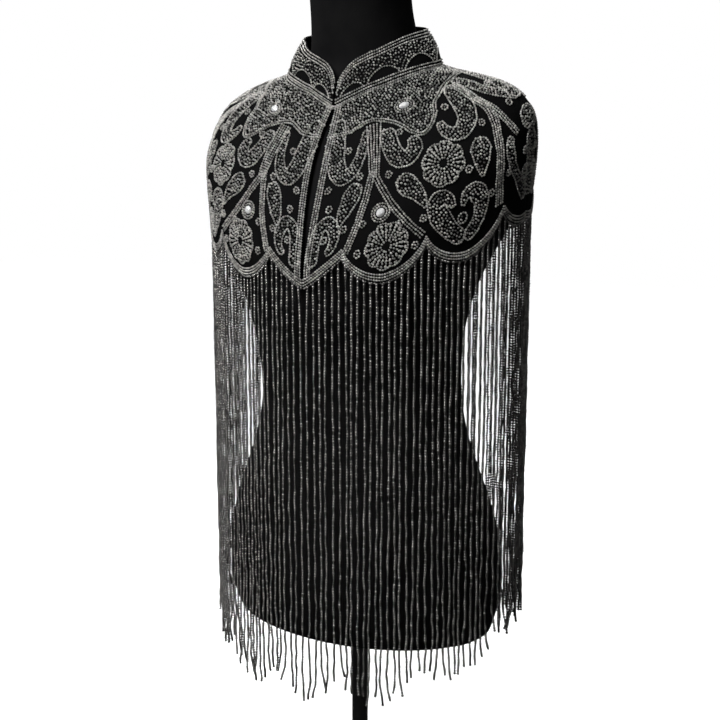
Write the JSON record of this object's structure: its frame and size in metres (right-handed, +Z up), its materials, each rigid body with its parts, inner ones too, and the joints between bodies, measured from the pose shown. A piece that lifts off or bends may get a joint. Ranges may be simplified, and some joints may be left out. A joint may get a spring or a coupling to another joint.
{
  "type": "beaded fringe capelet on a dress form",
  "caption": "Short stand-collar capelet with bead embroidery, a scalloped hem and a long strand fringe, worn by a limbless dress form on a round-footed stand.",
  "frame": {"origin": "on the floor under the middle of the stand's foot", "axes": "+Z up, the front faces -Y, the wearer's left is +X"},
  "size_m": [0.381, 0.324, 0.985],
  "materials": {
    "black_jersey": "satin",
    "black_metal": "satin black",
    "black_net": "matt",
    "gunmetal_bead": "metallic lustre",
    "clear_stone": "polished"
  },
  "bodies": {
    "root": {"collar": "black_net", "form_body": "black_jersey", "fringe_back": "gunmetal_bead", "fringe_front_left": "gunmetal_bead", "fringe_front_right": "gunmetal_bead", "fringe_left_1": "gunmetal_bead", "fringe_left_2": "gunmetal_bead", "fringe_left_3": "gunmetal_bead", "fringe_left_4": "gunmetal_bead", "fringe_left_5": "gunmetal_bead", "fringe_right_1": "gunmetal_bead", "fringe_right_2": "gunmetal_bead", "fringe_right_3": "gunmetal_bead", "fringe_right_4": "gunmetal_bead", "fringe_right_5": "gunmetal_bead", "stand_base": "black_metal", "stand_pole": "black_metal", "stone_upper_front_left": "clear_stone", "stone_upper_front_right": "clear_stone", "stone_upper_back_left": "clear_stone", "stone_upper_back_right": "clear_stone", "stone_lower_front_left": "clear_stone", "stone_lower_front_right": "clear_stone", "stone_lower_back_left": "clear_stone", "stone_lower_back_right": "clear_stone", "yoke_back": "black_net", "yoke_front_left": "black_net", "yoke_front_right": "black_net"}
  },
  "joints": []
}
